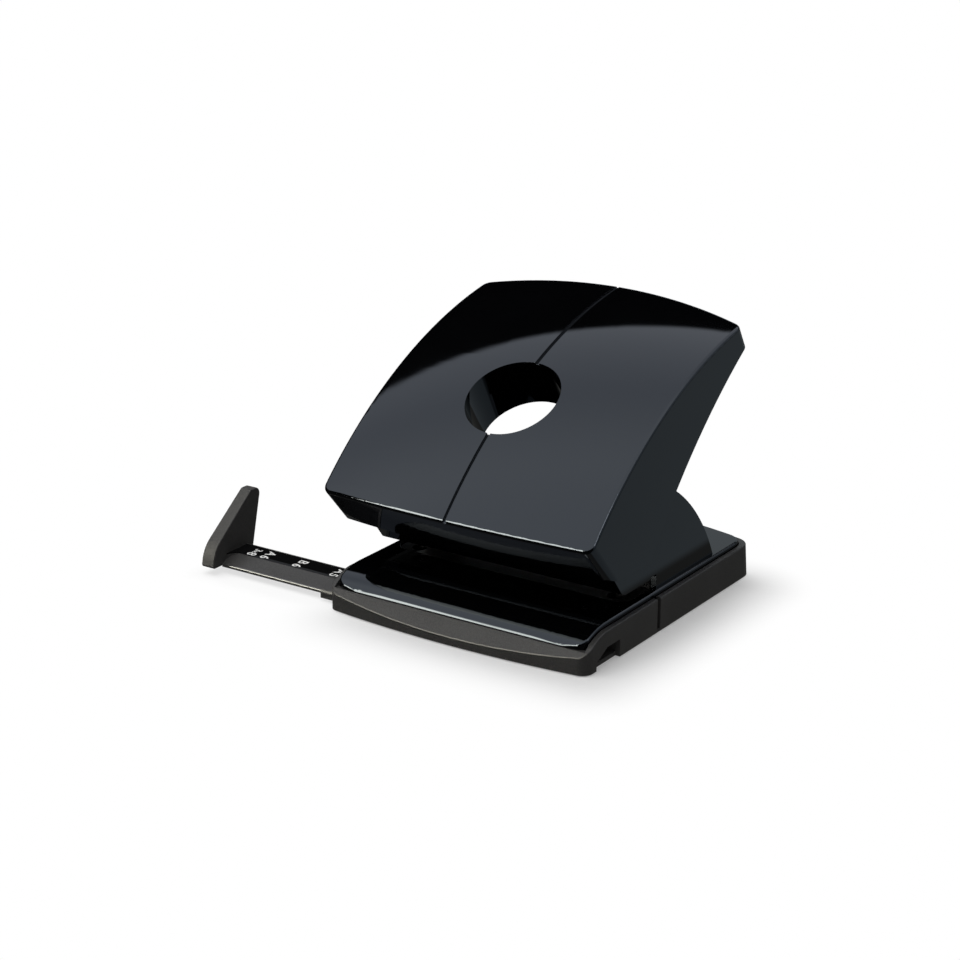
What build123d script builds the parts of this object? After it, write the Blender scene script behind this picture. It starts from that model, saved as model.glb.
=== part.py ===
from build123d import *
import os
from math import atan2, cos, radians, sin, sqrt, tan

os.makedirs("parts", exist_ok=True)

# Desk punch for filing paper. Millimetres, X to the right, Y to the back, Z up.
# The origin lies on the desk, under the middle of the two punch pins.

# Paper and punching
hole_spacing = 80.0
pin_radius = 2.75
paper_stop_y = 12.0
throat_bottom = 13.2
throat_top = 18.0
running_clearance = 0.05

# Widths, from the pins outwards
pin_to_inner_ear = 8.8
pin_to_outer_ear = 6.5
housing_wall = 2.0
housing_gap = 0.2
window_overlap = 1.5
base_margin = 3.5
frame_inner_x = hole_spacing / 2 - pin_to_inner_ear
frame_outer_x = hole_spacing / 2 + pin_to_outer_ear
cheek_half_width = frame_outer_x + housing_gap + housing_wall
window_half_width = cheek_half_width - window_overlap
base_half_width = cheek_half_width + base_margin

# Base outline and heights
front_corner_y = -37.0
back_corner_y = 74.6
front_bow = 3.4
back_bow = 6.8
back_lean = 7.0
front_corner_radius = 4.0
back_corner_radius = 7.0
tray_wall = 1.8
tray_floor = 1.5
tray_top = 12.0
tray_edge_radius = 0.5
tray_nose_start = (-25.0, tray_top)
tray_nose_middle = (-31.5, 10.4)
facet_top = (-35.8, 7.7)
facet_slope = 46.5
table_top = 13.6
cover_gap = 0.3
cover_inset = tray_wall + cover_gap
cover_skin = 1.6
cover_skirt_bottom = 10.5
nose_start_y = -22.0
nose_middle = (-30.5, 12.2)
nose_tip = (-36.0, 8.2)
beyond = 2 * base_half_width

# Film hinge between the two parts of the tray
film_y = 8.7
film_thickness = 0.9
film_gap = 0.3
slit_width = 2.0

# Plate, frames and housing
window_front_y = -5.2
window_back_y = 47.0
window_radius = 5.5
plate_gap = 0.4
flange_bottom = 10.4
flange_top = table_top - cover_skin
flange_half_width = base_half_width - cover_inset - cover_skin - cover_gap
flange_front_y = -8.0
flange_back_y = 58.0
frame_sheet = 2.0
outer_ear = 1.2
arm_thickness = 3.0
arm_front_y = -6.8
upright_thickness = 3.0
ear_boss = 4.6
foot_back_y = 40.0
bridge_front_top = (-21.0, 42.0)
bridge_front_low = (-21.0, 32.9)
bridge_chin = (-15.2, 25.5)
bridge_heel = (-10.0, 18.9)
slot_roof_front_y = -8.2
slot_roof_back_y = 8.6
slot_end_rise = 0.8
bridge_back_low = (51.5, table_top)
bridge_back_middle = (39.5, 31.9)
bridge_back_top = (22.0, 46.3)
tube_room_half_width = 24.0
tube_room_bottom = 43.0
stop_wall_top = 24.0
housing_screw_top = 20.5
housing_boss_rise = 9.5

# Lever pivot and pin drive
pivot_y = -14.0
pivot_z = 36.0
axle_radius = 2.5
pin_head_top = 36.0
pin_head_radius = 4.2
pin_head_height = 2.0
pin_tip = throat_top + 0.2
nose_radius = 3.0
nose_clearance = 0.3
web_boss = 4.5
web_waist = 50.0

# Lever shape: the face is part of a ring about a cross axis far behind and below, angles from the vertical
face_radius = 177.5
face_axis_y = 87.8
face_axis_z = -76.6
crown_radius = 345.0
front_angle = 47.2
back_angle = 7.2
hole_angle = 30.4
lever_skin = 2.4
lever_wall = 2.2
lever_half_width_front = base_half_width + 1.4
lever_half_width_back = base_half_width + 0.1
lever_front_bow = 2.7
lever_front_lean = 48.5
lever_back_bow = 7.5
lever_back_lean = 59.5
skirt_corner = (-25.8, 30.0)
skirt_low_front = (-21.6, 28.4)
skirt_low_back = (-0.5, 27.7)
skirt_rear_middle = (16.5, 47.9)
skirt_rear_top = (79.2, 95.4)
finger_hole_radius = 16.8
finger_tube_wall = 2.0
finger_tube_depth = 20.0
lever_corner_radius = 3.5
lever_edge_radius = 1.2
groove_width = 1.4
groove_depth = 0.8

# Steel frame inside the lever, laid along the chord of the face
frame_plate_start = 28.0
frame_plate_end = 96.0
frame_plate_half_width = 43.0
frame_plate_thickness = 2.0
lever_screw_reach = 4.5
lever_screw_inset = 8.0
lever_screw_x = hole_spacing / 2 - 10.0
lever_screw_alongs = (frame_plate_start + lever_screw_inset, frame_plate_end - lever_screw_inset)
lever_screw_spots = [(side * lever_screw_x, along) for side in (-1, 1) for along in lever_screw_alongs]

# Screws and rivets
screw_radius = 1.45
screw_bore = 1.5
screw_clear_hole = 1.6
screw_head_radius = 2.8
screw_head_height = 2.0
rivet_x = hole_spacing / 2 - 1.5
rivet_ys = (paper_stop_y + 10.0, foot_back_y - 6.0)
rivet_spots = [(side * rivet_x, y) for side in (-1, 1) for y in rivet_ys]
housing_screw_x = frame_inner_x - 9.2
housing_screw_ys = (paper_stop_y + 5.5, bridge_back_low[0] - 9.5)
housing_screw_spots = [(side * housing_screw_x, y) for side in (-1, 1) for y in housing_screw_ys]

# Posts in the tray that carry the plate
post_radius = 3.0
middle_post_x = housing_screw_x - 12.0
outer_post_x = flange_half_width - 3.2
middle_posts = [(side * middle_post_x, y) for side in (-1, 1) for y in (paper_stop_y + 4.0, foot_back_y + 4.0)]
outer_posts = [(side * outer_post_x, y) for side in (-1, 1) for y in (paper_stop_y + 1.0, flange_back_y - 5.0)]

# Paper guide: rail section in Y and Z, stop fin, travel
rail_front_y = -31.1
rail_back_y = -16.5
rail_bottom = 1.9
rail_lip_top = 2.9
rail_lip_radius = 0.6
rail_top = 6.2
rail_flat_y = -24.4
rail_skin = 1.6
rail_clearance = 0.35
rail_length = 109.0
stop_face_x = -104.5
stop_foot_thickness = 5.6
stop_top_thickness = 4.7
stop_back_foot = (-13.9, 2.2)
stop_back_top = (-8.2, 25.9)
stop_front_top = (-13.75, 25.9)
stop_front_bend = (-34.85, 9.1)
stop_front_foot = (-36.0, 2.2)
stop_top_radius = 2.4
stop_bend_radius = 11.0
stop_corner_radius = 1.0
stop_edge_radius = 0.4
flare_radius = 6.8
flare_reach = 6.4
collar_end_x = -base_half_width - 7.1
collar_wall = 0.85
collar_rise = 0.15
strip_back_y = rail_back_y - 0.6
strip_thickness = 0.4
strip_gap = 0.1


def along_x(face, low, high):
    """Prism of a Y-Z outline between two X values."""
    return extrude(Plane.YZ.offset(low) * face, amount=high - low)


def polygon(*points):
    return make_face(Polyline(*points, close=True))


def upright(face, low, high):
    """Prism of an X-Y outline between two heights."""
    return extrude(Pos(0, 0, low) * face, amount=high - low)


def block(x_range, y_range, z_range):
    size = [high - low for low, high in (x_range, y_range, z_range)]
    middle = [(high + low) / 2 for low, high in (x_range, y_range, z_range)]
    return Pos(*middle) * Box(*size)


def rod(x, y, low, high, radius):
    return Pos(x, y, (low + high) / 2) * Cylinder(radius, high - low)


def cross_rod(y, z, low, high, radius):
    """Round bar along X."""
    return along_x(Pos(y, z) * Circle(radius), low, high)


def both_sides(shape):
    return shape + mirror(shape, about=Plane.YZ)


def base_outline(inset):
    """Plan of the base: straight sides, bowed ends, rounded corners."""
    half = base_half_width - inset
    front = front_corner_y + inset
    back = back_corner_y - inset
    face = make_face([
        ThreePointArc((-half, front), (0, front - front_bow), (half, front)),
        Line((half, front), (half, back)),
        ThreePointArc((half, back), (0, back + back_bow), (-half, back)),
        Line((-half, back), (-half, front)),
    ])
    face = fillet(face.vertices().group_by(Axis.Y)[0], front_corner_radius)
    return fillet(face.vertices().group_by(Axis.Y)[-1], back_corner_radius)


def base_block(inset, low, high):
    """Prism of the base's plan between two heights, its back wall leaning forward."""
    plan = base_outline(inset)
    leaning = extrude(plan, amount=beyond, dir=(0, -tan(radians(back_lean)), 1))
    return upright(plan, low, high) & leaning


def runs_round_top(edge):
    """Whether an edge of the tray follows the outside of its top, neither straight across nor up a corner."""
    way = edge % 0.5
    across = edge.geom_type == GeomType.LINE and abs(way.X) > 0.99
    return edge.center().Z > tray_edge_radius and abs(way.Z) < 0.9 and not across


def tray_block():
    """Whole tray before it is parted: bowed front cut by the sloped facet."""
    facet_foot = facet_top[0] - facet_top[1] / tan(radians(facet_slope))
    side = make_face([
        Line((facet_foot, 0), (back_corner_y + beyond, 0)),
        Line((back_corner_y + beyond, 0), (back_corner_y + beyond, tray_top)),
        Line((back_corner_y + beyond, tray_top), tray_nose_start),
        ThreePointArc(tray_nose_start, tray_nose_middle, facet_top),
        Line(facet_top, (facet_foot, 0)),
    ])
    solid = base_block(0, 0, tray_top) & along_x(side, -beyond, beyond)
    solid = fillet(solid.edges().filter_by(runs_round_top), tray_edge_radius)
    inner_half = base_half_width - tray_wall
    cavity_front = facet_top[0] + tray_wall
    cavity = base_block(tray_wall, tray_floor, tray_top + 1)
    cavity &= block((-beyond, beyond), (cavity_front, beyond + back_corner_y), (0, beyond))
    ledge = block((-inner_half, inner_half), (facet_top[0], cavity_front + 1), (facet_top[1], beyond))
    return solid - cavity - ledge


def film_cut(side):
    """Space that parts the tray at the film hinge; side is -1 for the front part, 1 for the rear."""
    far = film_y - side * 2 * beyond
    film = film_y + side * film_gap / 2
    wall = film_y + side * slit_width / 2
    low = block((-beyond, beyond), sorted((far, film)), (-1, film_thickness))
    return low + block((-beyond, beyond), sorted((far, wall)), (film_thickness, beyond))


def rail_outline(grow):
    """Outer section of the paper guide, grown by a clearance: flat top, front slope, rounded lip."""
    lip = (rail_front_y, rail_lip_top)
    face = polygon(
        (rail_back_y, rail_bottom), (rail_back_y, rail_top), (rail_flat_y, rail_top),
        lip, (rail_front_y, rail_bottom),
    )
    face = fillet(face.vertices().sort_by_distance((*lip, 0))[0], rail_lip_radius)
    return offset(face, amount=grow, kind=Kind.INTERSECTION) if grow else face


def rail_collar():
    """Claw on the tray's left side that wraps the rail's slope and underside."""
    sleeve = along_x(rail_outline(rail_clearance + collar_wall), collar_end_x, tray_wall - base_half_width)
    claw = block((-beyond, 0), (-beyond, rail_flat_y - 1), (0, rail_top + collar_rise))
    sole = block((-beyond, 0), (-beyond, rail_back_y), (0, rail_bottom))
    return sleeve & (claw + sole)


def chip_tray():
    tray = tray_block() - film_cut(-1)
    inner_half = base_half_width - tray_wall
    rib_height = 5.0
    for rib_y in (rail_front_y - rail_clearance - collar_wall, rail_back_y + rail_clearance):
        tray += block((-inner_half, inner_half), (rib_y, rib_y + collar_wall), (tray_floor, rib_height))
    tray += rail_collar()
    passage = along_x(rail_outline(rail_clearance), collar_end_x - 1, 1 - inner_half)
    arch = along_x(rail_outline(0), inner_half, base_half_width + 1)
    arch_foot = block((inner_half, base_half_width + 1), (rail_front_y, rail_back_y), (-1, rail_lip_top - 1))
    return tray - passage - arch - arch_foot


def rear_tray():
    tray = tray_block() - film_cut(1)
    for x, y in middle_posts + outer_posts:
        tray += rod(x, y, tray_floor, flange_bottom, post_radius)
    return tray


def nose_outline(skin, underside):
    """Side view of the base cover: flat table that rounds down to the front lip, closed along an underside."""
    top = table_top - skin
    tip = (nose_tip[0] + skin, nose_tip[1])
    middle = (nose_middle[0] + 0.4 * skin, nose_middle[1] - 0.9 * skin)
    far = (back_corner_y + beyond, top)
    return make_face([
        Line(far, (nose_start_y, top)),
        Spline((nose_start_y, top), middle, tip, tangents=[(-1, 0), (-0.5, -1)]),
        Polyline(tip, *underside, (far[0], underside[-1][1]), far),
    ])


def cover_plan(inset):
    """Plan of the cover: as the tray, with a straight front."""
    half = base_half_width - inset
    straight = block((-half, half), (nose_tip[0] - 1, beyond + back_corner_y), (0, beyond))
    return base_block(inset, 0, table_top + 1) & straight


def window(grow):
    width = 2 * (window_half_width + grow)
    depth = window_back_y - window_front_y + 2 * grow
    middle = (window_back_y + window_front_y) / 2
    return Pos(0, middle) * RectangleRounded(width, depth, window_radius + grow)


def base_cover():
    half = base_half_width
    lip = [(nose_tip[0] + 3.0, nose_tip[1]), (nose_tip[0] + 5.0, cover_skirt_bottom)]
    outer = along_x(nose_outline(0, lip), -half, half) & cover_plan(cover_inset)
    rim = outer.faces().sort_by(Axis.Z)[-1].edges()
    outer = fillet(rim.filter_by(lambda edge: edge.center().Y > nose_start_y + 1), 0.7)
    hollow = [(nose_tip[0] + cover_skin, 0)]
    inner = along_x(nose_outline(cover_skin, hollow), -half, half) & cover_plan(cover_inset + cover_skin)
    return outer - inner - upright(window(0), flange_top - 1, table_top + 1)


def base_plate():
    across = (-flange_half_width, flange_half_width)
    flange = block(across, (flange_front_y, flange_back_y), (flange_bottom, flange_top))
    flange = fillet(flange.edges().filter_by(Axis.Z), window_radius)
    plate = flange + upright(window(-plate_gap), flange_bottom, throat_bottom)
    for side in (-1, 1):
        plate -= rod(side * hole_spacing / 2, 0, 0, beyond, pin_radius + running_clearance)
    for x, y in rivet_spots + housing_screw_spots:
        plate -= rod(x, y, 0, beyond, screw_clear_hole)
    return plate


def punch_frame(side):
    """C-shaped frame: foot on the plate, upright that stops the paper, arm over the slot, two ears."""
    wide = (frame_inner_x, frame_outer_x)
    arm_top = throat_top + arm_thickness
    upright_back = paper_stop_y + upright_thickness
    frame = block(wide, (paper_stop_y, foot_back_y), (throat_bottom, throat_bottom + frame_sheet))
    frame += block(wide, (paper_stop_y, upright_back), (throat_bottom, arm_top))
    frame += block(wide, (arm_front_y, upright_back), (throat_top, arm_top))
    ear = polygon(
        (arm_front_y, throat_top), (upright_back, throat_top), (upright_back, arm_top + 3.0),
        (pivot_y + 3.5, pivot_z + 3.6),
        (pivot_y - ear_boss, pivot_z + 2.0),
        (pivot_y - ear_boss, pivot_z - 1.4),
        (pivot_y + 1.4, pivot_z - 2 * ear_boss),
    )
    ear += Pos(pivot_y, pivot_z) * Circle(ear_boss)
    frame += along_x(ear, frame_inner_x, frame_inner_x + frame_sheet)
    frame += along_x(ear, frame_outer_x - outer_ear, frame_outer_x)
    frame -= cross_rod(pivot_y, pivot_z, 0, beyond, axle_radius + running_clearance)
    frame -= rod(hole_spacing / 2, 0, throat_top - 1, arm_top + 1, pin_radius + running_clearance)
    for x, y in rivet_spots:
        frame -= rod(x, y, 0, arm_top, screw_clear_hole)
    return frame if side > 0 else mirror(frame, about=Plane.YZ)


def frame_rivets():
    head_radius = 2.6
    head_height = 1.0
    foot_top = throat_bottom + frame_sheet
    rivets = []
    for x, y in rivet_spots:
        rivet = rod(x, y, flange_bottom, foot_top, screw_bore)
        rivet += rod(x, y, foot_top, foot_top + head_height, head_radius)
        rivet += rod(x, y, flange_bottom - head_height, flange_bottom, head_radius)
        rivets.append(fillet(rivet.edges().sort_by(Axis.Z)[-1], head_height * 0.8))
    return Compound(rivets)


def pivot_axle():
    half = frame_outer_x
    axle = cross_rod(pivot_y, pivot_z, -half, half, axle_radius)
    return chamfer(axle.edges().filter_by(GeomType.CIRCLE), 0.4)


def axle_clips():
    clip_radius = 4.5
    clip_thickness = 0.8
    inner = axle_radius + running_clearance
    high = frame_inner_x - 0.2
    low = high - clip_thickness
    ring = Pos(pivot_y, pivot_z) * (Circle(clip_radius) - Circle(inner))
    mouth = Pos(pivot_y, pivot_z - clip_radius) * Rectangle(2 * inner - 1.2, 2 * clip_radius)
    clip = along_x(ring - mouth, low, high)
    return Compound([clip, mirror(clip, about=Plane.YZ)])


def bridge_back(wall):
    """Arc of the bridge's curved back in side view, set in by a wall."""
    low = (bridge_back_low[0] - wall, bridge_back_low[1])
    middle = (bridge_back_middle[0] - 0.76 * wall, bridge_back_middle[1] - 0.65 * wall)
    high = (bridge_back_top[0] - 0.6 * wall, bridge_back_top[1] - 0.8 * wall)
    return low, ThreePointArc(low, middle, high), high


def bridge_outline():
    """Side view of the bridge from the paper slot round its curved back."""
    stop = paper_stop_y + cover_gap
    slot_end = throat_top + slot_end_rise
    low, back, high = bridge_back(0)
    front = Polyline(
        high,
        bridge_front_top,
        bridge_front_low,
        bridge_chin,
        bridge_heel,
        (slot_roof_front_y, throat_top),
        (slot_roof_back_y, throat_top),
        (slot_roof_back_y + slot_end_rise, slot_end),
        (stop, slot_end),
        (stop, table_top),
    )
    return make_face([Line((stop, table_top), low), back, front])


def bridge_inside():
    """Side view of the hollow under the bridge, open at the top and at the bottom."""
    wall = housing_wall
    low, back, high = bridge_back(wall)
    floor_front = slot_roof_front_y + 0.5
    front = Polyline(
        high,
        (high[0], beyond),
        (bridge_front_low[0] + wall, beyond),
        (bridge_front_low[0] + wall, bridge_front_low[1] + 0.35 * wall),
        (bridge_chin[0] + 0.9 * wall, bridge_chin[1] + 0.45 * wall),
        (floor_front, bridge_heel[1] + 0.15 * wall),
        (floor_front, flange_top),
        (low[0], flange_top),
        low,
    )
    return make_face([back, front])


def bridge_housing():
    solid = along_x(bridge_outline(), -cheek_half_width, cheek_half_width)
    half_inside = cheek_half_width - housing_wall
    shell = solid - along_x(bridge_inside(), -half_inside, half_inside)
    shell -= block((-tube_room_half_width, tube_room_half_width), (0, beyond), (tube_room_bottom, beyond))
    middle = (cover_gap - frame_inner_x, frame_inner_x - cover_gap)
    stop = paper_stop_y + cover_gap
    stop_back = stop + housing_wall
    shell += block(middle, (slot_roof_front_y, stop_back), (throat_top, throat_top + housing_wall))
    shell += block(middle, (stop, stop_back), (table_top, stop_wall_top))
    for x, y in housing_screw_spots:
        boss = rod(x, y, throat_bottom, housing_screw_top + housing_boss_rise, screw_head_radius + 0.8)
        shell += boss & solid
        shell -= rod(x, y, throat_bottom - 1, housing_screw_top + 0.5, screw_bore)
    return shell


def housing_screws():
    screws = []
    for x, y in housing_screw_spots:
        screw = rod(x, y, flange_bottom, housing_screw_top, screw_radius)
        screws.append(screw + rod(x, y, flange_bottom - screw_head_height, flange_bottom, screw_head_radius))
    return Compound(screws)


def face_point(angle):
    """Y and Z on the middle line of the lever's face."""
    turn = radians(angle)
    return face_axis_y - face_radius * sin(turn), face_axis_z + face_radius * cos(turn)


def turned_ring(section):
    """Section with X across and Y outwards, turned about the face axis from behind the lever to before it."""
    start = 10.0
    sweep_angle = 75.0
    axis_spot = (0, face_axis_y, face_axis_z)
    across = Plane(axis_spot, x_dir=(1, 0, 0), z_dir=(0, -cos(radians(start)), sin(radians(start))))
    return revolve(across * section, Axis(axis_spot, (1, 0, 0)), sweep_angle)


def crowned_ring(inset):
    """Ring that fills the lever, its outer side crowned across the width and set in from the face."""
    depth = 80.0
    half = 70.0
    top = face_radius - inset
    edge = top - crown_radius + sqrt(crown_radius**2 - half**2)
    section = make_face([
        ThreePointArc((-half, edge), (0, top), (half, edge)),
        Polyline((half, edge), (half, top - depth), (-half, top - depth), (-half, edge)),
    ])
    return turned_ring(section)


def groove_ring():
    return turned_ring(Pos(0, face_radius) * Rectangle(groove_width, 2 * groove_depth))


def leaning_plane(lean):
    """Plane square to an end wall that leans back by the given angle below the horizontal."""
    return Plane((0, 0, 0), x_dir=(1, 0, 0), z_dir=(0, -cos(radians(lean)), sin(radians(lean))))


def leaning_height(point, lean):
    return point[0] * sin(radians(lean)) + point[1] * cos(radians(lean))


def lever_front_prism(inset):
    """Bowed front and tapering sides of the lever, swept along the lean of its front wall."""
    front = leaning_height(face_point(front_angle), lever_front_lean) + inset
    length = 125.0
    near = lever_half_width_front - inset
    far = lever_half_width_back - inset
    face = make_face([
        ThreePointArc((-near, front + lever_front_bow), (0, front), (near, front + lever_front_bow)),
        Polyline((near, front + lever_front_bow), (far, front + length), (-far, front + length),
                 (-near, front + lever_front_bow)),
    ])
    return extrude(leaning_plane(lever_front_lean) * face, amount=150, both=True)


def lever_back_prism(inset):
    """Bowed free end of the lever."""
    back = leaning_height(face_point(back_angle), lever_back_lean) - inset
    reach = 60.0
    corner = back - lever_back_bow * (reach / lever_half_width_back) ** 2
    ahead = -90.0
    face = make_face([
        ThreePointArc((reach, corner), (0, back), (-reach, corner)),
        Polyline((-reach, corner), (-reach, ahead), (reach, ahead), (reach, corner)),
    ])
    return extrude(leaning_plane(lever_back_lean) * face, amount=150, both=True)


def lever_side():
    """Side view of the lever: everything above the lower edge of its skirts."""
    ahead = -80.0
    ceiling = 130.0
    return make_face([
        Polyline((ahead, skirt_corner[1]), skirt_corner, skirt_low_front, skirt_low_back),
        ThreePointArc(skirt_low_back, skirt_rear_middle, skirt_rear_top),
        Polyline(skirt_rear_top, (skirt_rear_top[0], ceiling), (ahead, ceiling), (ahead, skirt_corner[1])),
    ])


def finger_plane():
    """Plane on the lever face, square to the finger hole."""
    turn = radians(hole_angle)
    return Plane((0, *face_point(hole_angle)), x_dir=(1, 0, 0), z_dir=(0, -sin(turn), cos(turn)))


def chord_slope():
    """Slope of the straight line between the ends of the face."""
    front_y, front_z = face_point(front_angle)
    back_y, back_z = face_point(back_angle)
    return atan2(back_z - front_z, back_y - front_y)


def chord_plane():
    slope = chord_slope()
    return Plane((0, *face_point(front_angle)), x_dir=(1, 0, 0), z_dir=(0, -sin(slope), cos(slope)))


def chord_point(along, above):
    """Y and Z of a point given along the lever's chord and above it."""
    slope = chord_slope()
    front_y, front_z = face_point(front_angle)
    y = front_y + along * cos(slope) - above * sin(slope)
    z = front_z + along * sin(slope) + above * cos(slope)
    return y, z


def chord_rod(x, along, low, high, radius):
    rod_face = Pos(x, along, low) * Circle(radius)
    return extrude(chord_plane() * rod_face, amount=high - low)


def runs_along(edge, lean):
    """Whether an edge follows an end wall of the lever with the given lean."""
    return abs((edge % 0.5).dot(leaning_plane(lean).z_dir)) > 0.99


def lever_cover():
    """Doubly curved lever: crowned ring cut to its bowed ends, hollow, with the finger tube and the groove."""
    outer = crowned_ring(0) & lever_front_prism(0) & lever_back_prism(0)
    outer &= along_x(lever_side(), -2 * beyond, 2 * beyond)
    leans = (lever_front_lean, lever_back_lean)
    corners = outer.edges().filter_by(lambda edge: any(runs_along(edge, lean) for lean in leans))
    outer = fillet(corners, lever_corner_radius)
    face = max(outer.faces(), key=lambda piece: piece.center().Z - piece.center().Y)
    outer = fillet(face.edges(), lever_edge_radius)
    inner = crowned_ring(lever_skin) & lever_front_prism(lever_wall) & lever_back_prism(lever_skin)
    shell = outer - inner
    plane = finger_plane()
    tube = extrude(plane * Circle(finger_hole_radius + finger_tube_wall), amount=-finger_tube_depth)
    shell += tube & crowned_ring(lever_skin / 2)
    boss_top = 6.0
    for x, along in lever_screw_spots:
        shell += chord_rod(x, along, 0, boss_top, screw_head_radius + 0.4)
        shell -= chord_rod(x, along, -1, lever_screw_reach + 0.5, screw_bore)
    shell -= extrude(plane * Circle(finger_hole_radius), amount=beyond, both=True)
    return shell - groove_ring()


def lever_frame():
    plate = Pos(0, (frame_plate_start + frame_plate_end) / 2) * RectangleRounded(
        2 * frame_plate_half_width, frame_plate_end - frame_plate_start, 6.0)
    frame = extrude(chord_plane() * plate, amount=-frame_plate_thickness)
    frame -= extrude(finger_plane() * Circle(finger_hole_radius + finger_tube_wall + 1.2), amount=-beyond)
    pad = (0, pin_head_top + nose_clearance + nose_radius)
    under = -frame_plate_thickness
    web = polygon(
        (pivot_y - web_boss, pivot_z),
        chord_point(frame_plate_start - 2, under),
        chord_point(frame_plate_end - 2, under),
        chord_point(frame_plate_end - 2, under - 3),
        chord_point(web_waist, under - 6),
        (pad[0] + nose_radius, pad[1]),
        pad,
        (pivot_y + web_boss, pivot_z),
    )
    web += Pos(pivot_y, pivot_z) * Circle(web_boss)
    web += Pos(*pad) * Circle(nose_radius)
    web_half = 2.0
    middle = hole_spacing / 2
    frame += both_sides(along_x(web, middle - web_half, middle + web_half))
    frame -= cross_rod(pivot_y, pivot_z, -beyond, beyond, axle_radius + running_clearance)
    for x, along in lever_screw_spots:
        frame -= chord_rod(x, along, -2 * frame_plate_thickness, frame_plate_thickness, screw_clear_hole)
    return frame


def lever_screws():
    screws = []
    under = -frame_plate_thickness
    for x, along in lever_screw_spots:
        screw = chord_rod(x, along, under, lever_screw_reach, screw_radius)
        screws.append(screw + chord_rod(x, along, under - screw_head_height, under, screw_head_radius))
    return Compound(screws)


def punch_pin(side):
    """Punch pin with a head and a hollow-ground cutting end."""
    x = side * hole_spacing / 2
    pin = rod(x, 0, pin_tip, pin_head_top, pin_radius)
    pin += rod(x, 0, pin_head_top - pin_head_height, pin_head_top, pin_head_radius)
    hollow_radius = 5.0
    hollow_depth = 0.8
    return pin - cross_rod(0, pin_tip + hollow_depth - hollow_radius, -beyond, beyond, hollow_radius)


def punch_spring(side):
    """Return spring between the frame's arm and the pin's head, of flat-sided wire."""
    wire = 0.35
    wire_sides = 8
    coil = 3.75
    turns = 4
    seat_gap = 0.02
    low = throat_top + arm_thickness + wire + seat_gap
    high = pin_head_top - pin_head_height - wire - seat_gap
    pitch = (high - low) / turns
    print("gap between spring turns", round(pitch - 2 * wire, 2))
    path = Helix(pitch, high - low, coil)
    section = Plane(path @ 0, z_dir=path % 0) * RegularPolygon(wire, wire_sides)
    return Pos(side * hole_spacing / 2, 0, low) * sweep(section, path, is_frenet=True)


def rail_inside():
    """Hollow under the rail's skin, open downwards."""
    top = rail_top - rail_skin
    back = rail_back_y - rail_skin
    front = rail_front_y + rail_skin
    below = rail_bottom - 1
    lip = rail_lip_top - rail_lip_radius
    return polygon((rail_flat_y, top), (back, top), (back, below), (front, below), (front, lip))


def rail_flare(grow):
    """Plan of the flat top where it widens in a hollow curve towards the stop."""
    low = rail_flat_y - flare_radius
    corner = Pos(stop_face_x + flare_reach / 2, (low + rail_flat_y) / 2) * Rectangle(flare_reach, flare_radius)
    return corner - Pos(stop_face_x + flare_reach, low) * Circle(flare_radius + grow)


def rail_body():
    """Rail without its hollow: the section along its length and the flare at the stop."""
    body = along_x(rail_outline(0), stop_face_x, stop_face_x + rail_length)
    return body + upright(rail_flare(0), rail_lip_top, rail_top)


def strip_room(grow):
    """Space of the scale strip in the top of the rail."""
    high = stop_face_x + rail_length + 1
    return block((stop_face_x, high), (-beyond, strip_back_y + grow), (rail_top - strip_thickness, beyond))


def stop_fin():
    """Stop at the rail's end: sloping front that bends down to its foot, thinner and rounded at the top."""
    face = polygon(stop_back_foot, stop_back_top, stop_front_top, stop_front_bend, stop_front_foot)
    for spot, radius in (
        (stop_back_top, stop_top_radius),
        (stop_front_top, stop_corner_radius),
        (stop_front_bend, stop_bend_radius),
        (stop_front_foot, stop_corner_radius),
    ):
        face = fillet(face.vertices().sort_by_distance((*spot, 0))[0], radius)
    fin = along_x(face, stop_face_x - stop_foot_thickness, stop_face_x)
    taper = polygon(
        (stop_face_x - stop_foot_thickness, stop_front_foot[1]),
        (stop_face_x - stop_top_thickness, stop_front_top[1]),
        (stop_face_x, stop_front_top[1]),
        (stop_face_x, stop_front_foot[1]),
    )
    fin &= extrude(Plane.XZ * taper, amount=beyond, both=True)
    sides = fin.faces().sort_by(Axis.X)
    return fillet(sides[0].edges() + sides[-1].edges(), stop_edge_radius)


def guide_rail():
    hollow = along_x(rail_inside(), stop_face_x + flare_reach, stop_face_x + rail_length + 1)
    return rail_body() - hollow - strip_room(strip_gap) + stop_fin()


def scale_strip():
    strip = rail_body() & strip_room(0)
    return strip & block((stop_face_x + strip_gap, beyond), (-beyond, beyond), (0, beyond))


pieces = {
    "base_cover": base_cover(),
    "base_plate": base_plate(),
    "chip_tray": chip_tray(),
    "rear_tray": rear_tray(),
    "bridge_housing": bridge_housing(),
    "housing_screws": housing_screws(),
    "punch_frame_left": punch_frame(-1),
    "punch_frame_right": punch_frame(1),
    "frame_rivets": frame_rivets(),
    "pivot_axle": pivot_axle(),
    "axle_clips": axle_clips(),
    "lever_cover": lever_cover(),
    "lever_frame": lever_frame(),
    "lever_screws": lever_screws(),
    "punch_pin_left": punch_pin(-1),
    "punch_pin_right": punch_pin(1),
    "punch_spring_left": punch_spring(-1),
    "punch_spring_right": punch_spring(1),
    "guide_rail": guide_rail(),
    "scale_strip": scale_strip(),
}
for name, shape in pieces.items():
    export_step(shape, f"parts/{name}.step")
    print(name, len(shape.solids()), round(shape.volume))
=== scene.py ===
import math

import bmesh
import bpy
from bpy.props import FloatProperty, FloatVectorProperty, IntProperty, PointerProperty
from mathutils import Matrix, Vector


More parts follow.
